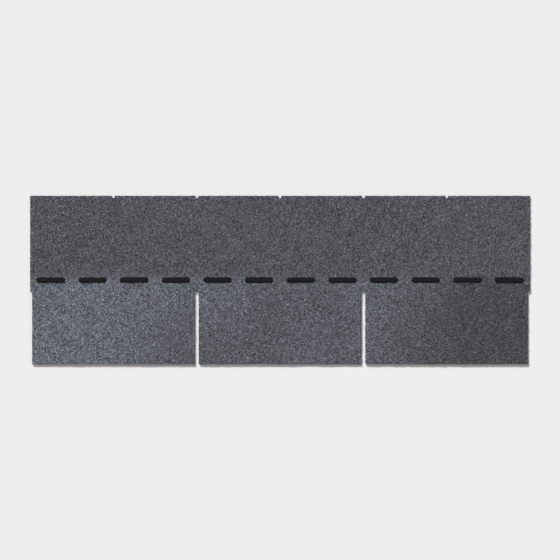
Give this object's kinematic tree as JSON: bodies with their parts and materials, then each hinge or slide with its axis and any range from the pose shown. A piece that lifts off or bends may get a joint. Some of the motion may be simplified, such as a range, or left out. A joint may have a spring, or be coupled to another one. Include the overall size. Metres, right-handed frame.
{
  "type": "three-tab asphalt shingle",
  "caption": "Flat asphalt strip shingle with a grey granule face, cutouts between its tabs, self-seal dashes above them and a release film on its back.",
  "frame": {"origin": "on the surface the strip lies on, under the middle of its length and of its height up the slope", "axes": "+X along the strip, +Y up the roof slope from the butt edge to the top edge, +Z out of the granule face"},
  "size_m": [1, 0.337, 0.0038],
  "materials": {
    "granule_sheet": "matte",
    "sealant": "satin",
    "release_film": "gloss"
  },
  "bodies": {
    "root": {"shingle_strip": "granule_sheet", "sealant_dash_01": "sealant", "sealant_dash_02": "sealant", "sealant_dash_03": "sealant", "sealant_dash_04": "sealant", "sealant_dash_05": "sealant", "sealant_dash_06": "sealant", "sealant_dash_07": "sealant", "sealant_dash_08": "sealant", "sealant_dash_09": "sealant", "sealant_dash_10": "sealant", "sealant_dash_11": "sealant", "sealant_dash_12": "sealant", "release_film": "release_film"}
  },
  "joints": []
}
